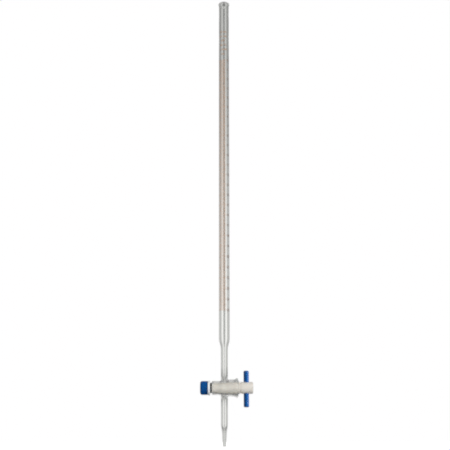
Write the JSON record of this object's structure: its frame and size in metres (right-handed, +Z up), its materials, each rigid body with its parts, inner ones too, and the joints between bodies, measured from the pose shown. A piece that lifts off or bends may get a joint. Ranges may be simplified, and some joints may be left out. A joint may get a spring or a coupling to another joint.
{
  "type": "burette",
  "caption": "Tall graduated glass tube with a beaded mouth, a transverse plug stopcock with a bar handle and lock nut, and a straight jet drawn to a fine tip.",
  "frame": {"origin": "centre of the jet's end face, on the tube's axis", "axes": "+Z up the tube towards its mouth, +X along the stopcock's axis from the lock nut towards the handle; the graduations face -Y"},
  "size_m": [0.0599, 0.0216, 0.5533],
  "materials": {
    "clear_glass": "clear borosilicate glass, smooth and fire-polished",
    "graduation_stain": "amber-brown stain fired into the glass, as thin lines and numbers",
    "key_ptfe": "creamy white machined PTFE with a waxy satin surface",
    "washer_ptfe": "white PTFE, satin",
    "seal_rubber": "black rubber, slightly glossy",
    "blue_plastic": "moulded blue polypropylene, semi-gloss"
  },
  "bodies": {
    "glass": {"graduated_tube": "clear_glass", "lead_tube": "clear_glass", "stopcock_barrel": "clear_glass", "delivery_jet": "clear_glass"},
    "key": {"stopcock_key": "key_ptfe", "handle_bar": "blue_plastic", "o_ring": "seal_rubber"},
    "washer": {"thrust_washer": "washer_ptfe"},
    "nut": {"lock_nut": "blue_plastic"}
  },
  "joints": [
    {"name": "key_turn", "type": "hinge", "parent": "glass", "child": "key", "pos_m": [0, 0, 0.064], "axis": [1, 0, 0], "continuous": true},
    {"name": "washer_slide", "type": "slide", "parent": "key", "child": "washer", "axis": [-1, 0, 0], "range_m": [0, 0.0075]},
    {"name": "nut_turn", "type": "hinge", "parent": "washer", "child": "nut", "pos_m": [-0.02305, 0, 0.064], "axis": [-1, 0, 0], "range_deg": [0, 1800]}
  ],
  "couplings": [
    {"joint": "nut_turn", "follows": "washer_slide", "rad_per_m": 4188.8}
  ]
}
